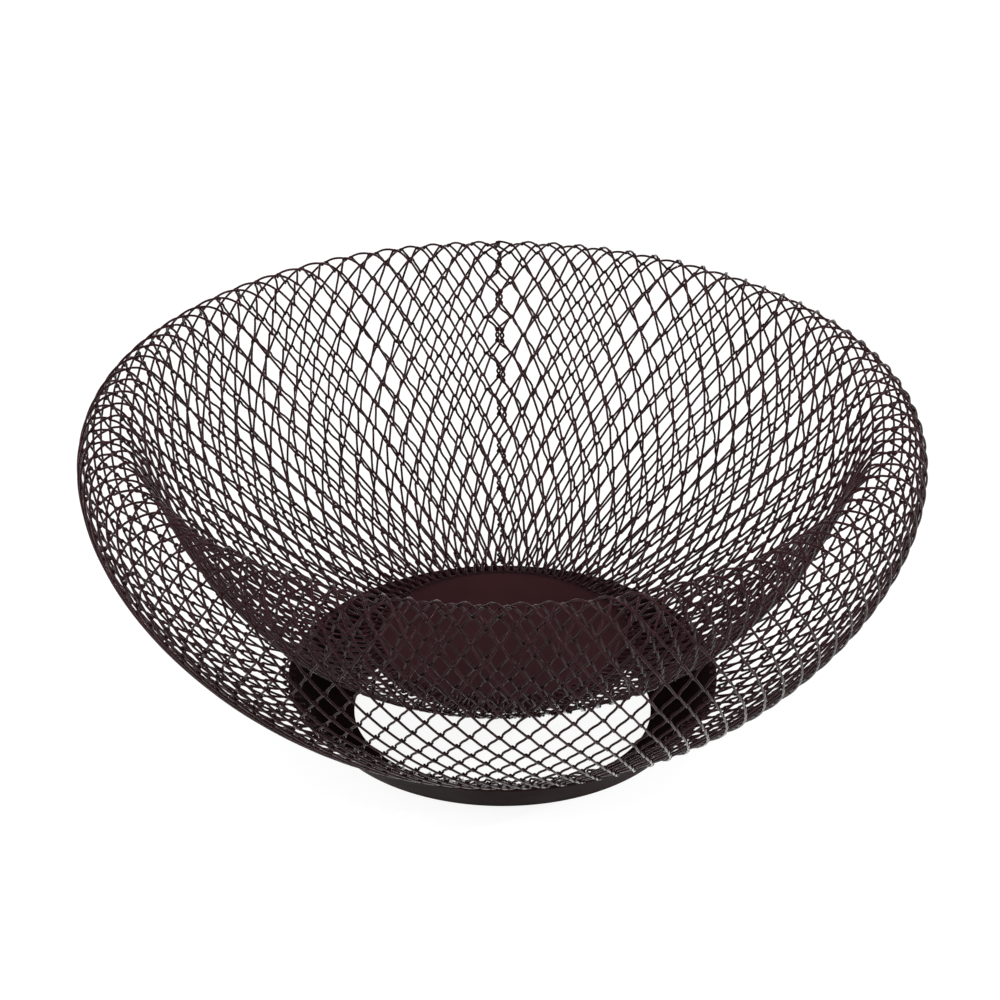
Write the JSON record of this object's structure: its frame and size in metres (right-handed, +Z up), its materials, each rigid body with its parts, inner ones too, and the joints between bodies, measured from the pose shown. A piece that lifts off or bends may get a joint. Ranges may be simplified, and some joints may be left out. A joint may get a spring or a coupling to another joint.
{
  "type": "wire fruit basket",
  "caption": "Round double-walled bowl of chain-link wire with a rolled rim, a closed round plate at the bottom of the bowl and a flared ring foot.",
  "frame": {"origin": "on the basket's axis, at the height of the surface the foot stands on", "axes": "+Z up along the basket's axis; the basket is round, and the seam of the wires is at +Y"},
  "size_m": [0.2988, 0.2988, 0.1235],
  "materials": {
    "wire": "satin brown-black lacquer",
    "foot": "satin near-black lacquer",
    "plate": "matt dark maroon lacquer"
  },
  "bodies": {
    "root": {"spiral_01": "wire", "spiral_02": "wire", "spiral_03": "wire", "spiral_04": "wire", "spiral_05": "wire", "spiral_06": "wire", "spiral_07": "wire", "spiral_08": "wire", "spiral_09": "wire", "spiral_10": "wire", "spiral_11": "wire", "spiral_12": "wire", "spiral_13": "wire", "spiral_14": "wire", "spiral_15": "wire", "spiral_16": "wire", "foot": "foot", "plate": "plate"}
  },
  "joints": []
}
